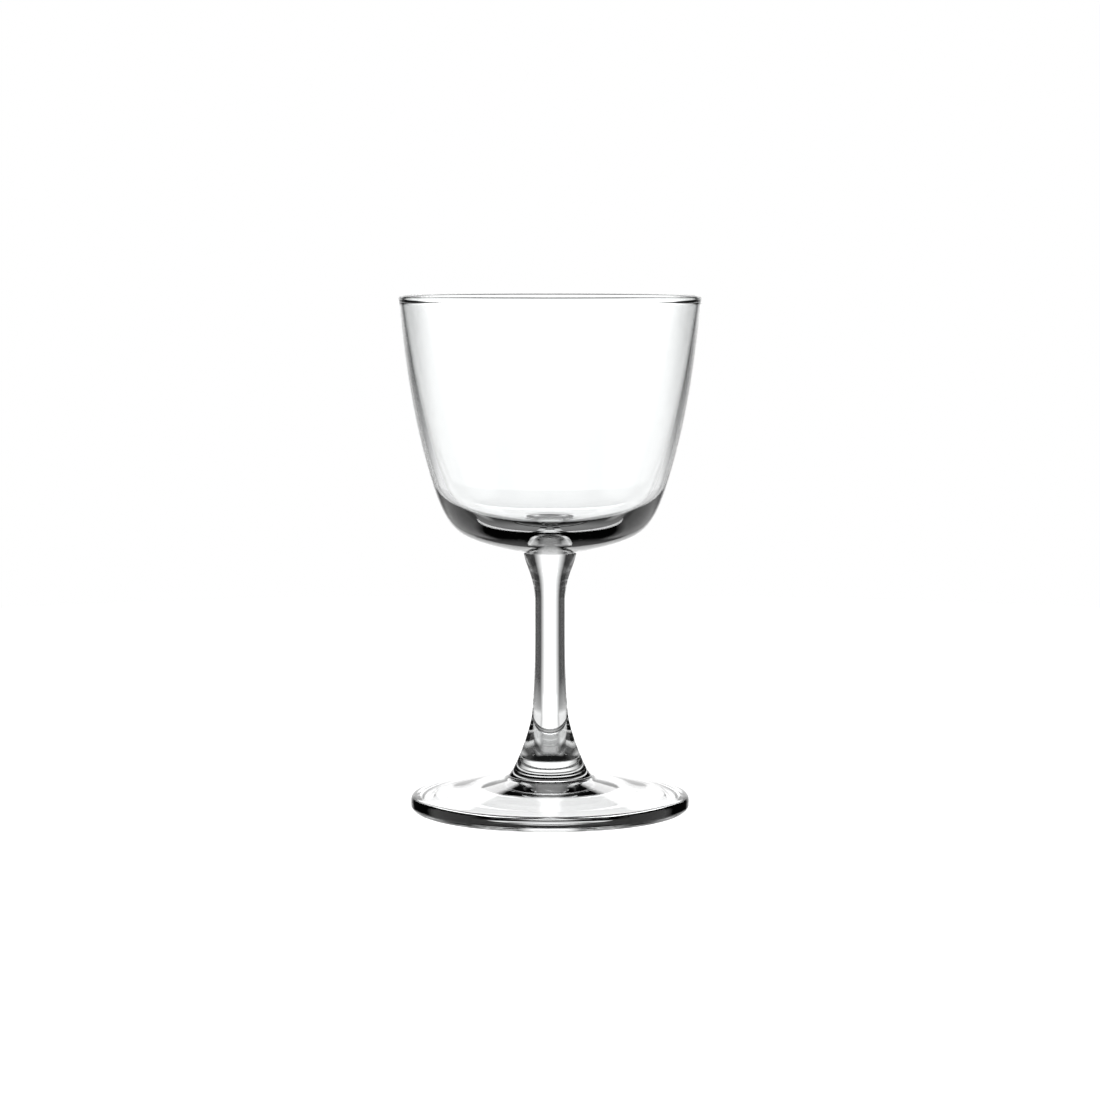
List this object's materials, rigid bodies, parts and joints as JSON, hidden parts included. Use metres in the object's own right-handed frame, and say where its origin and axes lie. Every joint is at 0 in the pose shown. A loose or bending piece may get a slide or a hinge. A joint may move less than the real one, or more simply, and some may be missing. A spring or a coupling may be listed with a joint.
{
  "type": "nick and nora glass",
  "caption": "Small stemmed cocktail glass in clear glass: tapered bowl with a thick rounded base, slim waisted stem that flares into a low round foot.",
  "frame": {"origin": "centre of the foot's standing ring, on the plane that the glass stands on", "axes": "+Z is the axis of the glass, from the foot up to the rim. The glass is round, so +X and +Y are free"},
  "size_m": [0.0736, 0.0736, 0.126],
  "materials": {
    "bowl_glass": "clear, colourless, fire-polished",
    "stem_glass": "clear, colourless, drawn and fire-polished",
    "foot_glass": "clear, colourless, pressed and fire-polished"
  },
  "bodies": {
    "root": {"bowl": "bowl_glass", "stem": "stem_glass", "foot": "foot_glass"}
  },
  "joints": []
}
